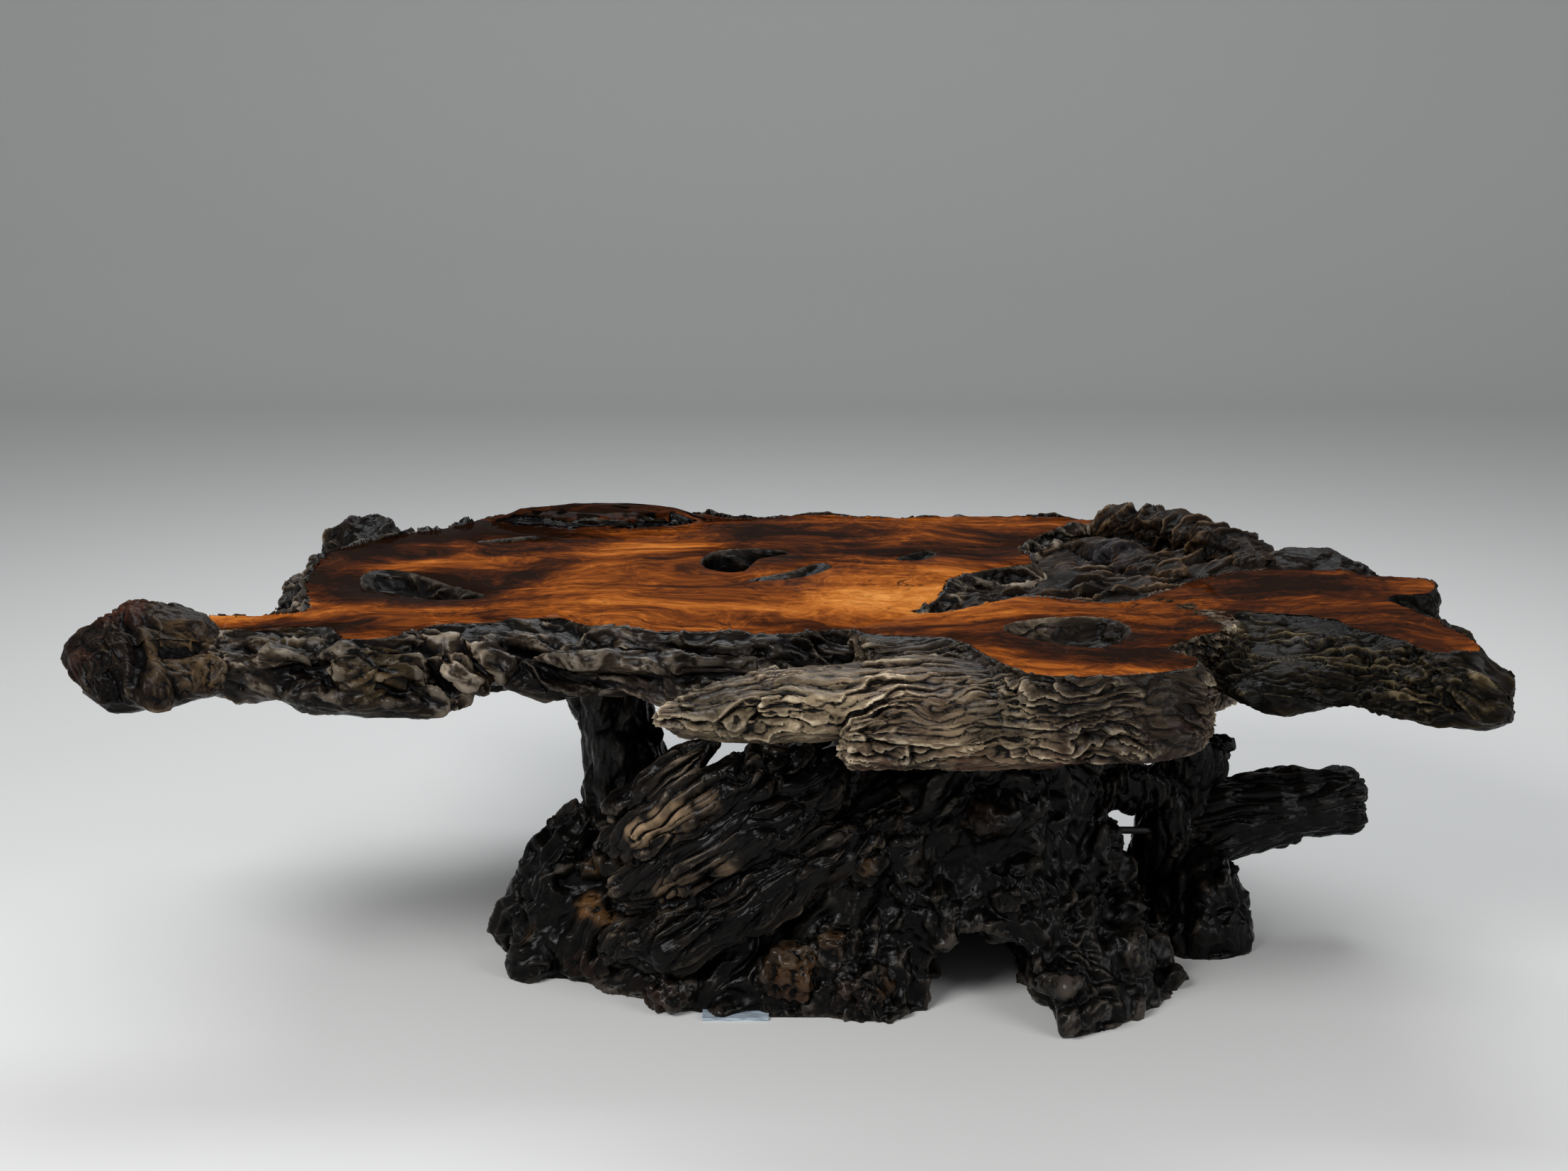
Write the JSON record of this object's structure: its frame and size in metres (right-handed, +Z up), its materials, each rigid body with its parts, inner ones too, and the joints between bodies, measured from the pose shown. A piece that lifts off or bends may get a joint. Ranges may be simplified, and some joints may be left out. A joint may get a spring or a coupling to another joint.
{
  "type": "coffee table",
  "caption": "Low coffee table with a live edge burl slab top on a carved base of twisted tree roots.",
  "frame": {"origin": "on the floor, under the middle of the table's length and depth", "axes": "+X to the right seen from the front, +Y to the back, +Z up"},
  "size_m": [1.64, 0.924, 0.486],
  "materials": {
    "polished_burl": "high gloss lacquer",
    "burl_and_bark": "gloss lacquer over bark",
    "driftwood": "satin lacquer",
    "rough_bark": "satin lacquer",
    "live_edge_knob": "gloss lacquer",
    "dark_root": "gloss lacquer",
    "pale_splinter": "satin lacquer",
    "peg_wood": "raw",
    "shim_slip": "matt"
  },
  "bodies": {
    "root": {"burl_dowels": "peg_wood", "foot_shim": "shim_slip", "front_ledge": "driftwood", "ledge_dowels": "peg_wood", "left_end_burl": "live_edge_knob", "left_post": "dark_root", "left_toe_root": "dark_root", "main_slab": "polished_burl", "rear_burl": "live_edge_knob", "rear_left_knob": "live_edge_knob", "rear_ridge": "rough_bark", "rear_root": "dark_root", "ridge_dowels": "peg_wood", "right_branch": "dark_root", "right_post": "dark_root", "right_wing": "burl_and_bark", "root_dowels": "peg_wood", "root_stump": "dark_root", "splinter_roots": "pale_splinter", "tie_dowel": "peg_wood", "top_pins": "peg_wood", "wing_dowels": "peg_wood"}
  },
  "joints": []
}
